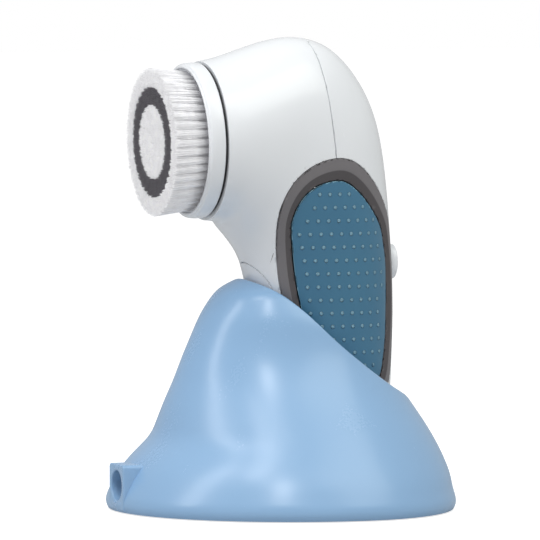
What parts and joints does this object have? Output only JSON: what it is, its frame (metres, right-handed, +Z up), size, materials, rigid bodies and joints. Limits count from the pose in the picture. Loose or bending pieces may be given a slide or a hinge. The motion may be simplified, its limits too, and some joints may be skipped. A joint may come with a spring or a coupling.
{
  "type": "facial cleansing brush",
  "caption": "Rechargeable rotary facial cleansing brush: a curved white handset with side grip pads and a round bristle head, standing in a sloping charging stand.",
  "frame": {"origin": "centre of the stand footprint, on the surface that the stand rests on", "axes": "+Z up, -Y the way the brush faces, +X to the left of a person looking at the brush face"},
  "size_m": [0.1118, 0.1069, 0.1453],
  "materials": {
    "stand_blue": "satin moulded plastic with a fine even texture",
    "shell_white": "smooth white moulded plastic",
    "grip_grey": "matt grey moulded frame",
    "pad_blue": "soft-touch rubber with raised dots",
    "bristle_white": "fine nylon bristle tufts",
    "bristle_grey": "fine grey nylon bristle tufts",
    "nose_grey": "dark moulded plastic",
    "rubber": "black rubber",
    "steel": "bright steel",
    "bronze": "sintered bronze",
    "board_green": "solder-masked board",
    "copper": "lacquered copper winding",
    "gear_nylon": "natural nylon",
    "cell_sleeve": "shrink sleeve over a steel can",
    "black_plastic": "black moulded plastic"
  },
  "bodies": {
    "stand": {"stand_shell": "stand_blue", "stand_cradle": "stand_blue", "base_plate": "stand_blue", "rubber_foot_1": "rubber", "rubber_foot_2": "rubber", "rubber_foot_3": "rubber", "rubber_foot_4": "rubber", "base_screw_1": "steel", "base_screw_2": "steel", "base_screw_3": "steel", "base_screw_4": "steel", "dc_jack": "black_plastic", "charge_board": "board_green", "transmit_coil": "copper"},
    "handset": {"front_housing": "shell_white", "rear_housing": "shell_white", "front_cover": "shell_white", "grip_frame_left": "grip_grey", "grip_frame_right": "grip_grey", "grip_pad_left": "pad_blue", "grip_pad_right": "pad_blue", "nose_plate": "nose_grey", "gear_plate": "black_plastic", "nose_screw_1": "steel", "nose_screw_2": "steel", "nose_screw_3": "steel", "front_bush": "bronze", "rear_bush": "bronze", "spindle_seal": "rubber", "motor_can": "steel", "battery_cell": "cell_sleeve", "main_board": "board_green", "tact_switch": "black_plastic", "button_seal": "rubber", "receive_coil": "copper"},
    "spindle": {"spindle_shaft": "steel", "drive_gear": "gear_nylon"},
    "motor_rotor": {"motor_pinion": "bronze", "motor_armature": "steel"},
    "brush_head": {"brush_hub": "shell_white", "outer_bristles": "bristle_white", "grey_bristles": "bristle_grey", "inner_bristles": "bristle_white"},
    "button": {"power_button": "shell_white"}
  },
  "joints": [
    {"name": "handset_lift", "type": "slide", "parent": "stand", "child": "handset", "axis": [0, 0, 1], "range_m": [0, 0.09]},
    {"name": "spindle_spin", "type": "hinge", "parent": "handset", "child": "spindle", "pos_m": [0, -0.0255, 0.114], "axis": [0, -0.9997, -0.0262], "continuous": true},
    {"name": "motor_spin", "type": "hinge", "parent": "handset", "child": "motor_rotor", "pos_m": [0, -0.02574, 0.123], "axis": [0, -0.9997, -0.0262], "continuous": true},
    {"name": "head_pull", "type": "slide", "parent": "spindle", "child": "brush_head", "axis": [0, -0.9997, -0.0262], "range_m": [0, 0.014]},
    {"name": "button_press", "type": "slide", "parent": "handset", "child": "button", "axis": [0, -1, 0], "range_m": [0, 0.0008], "stiffness_N_per_m": 1200}
  ],
  "couplings": [
    {"joint": "motor_spin", "follows": "spindle_spin", "ratio": -3.5}
  ]
}
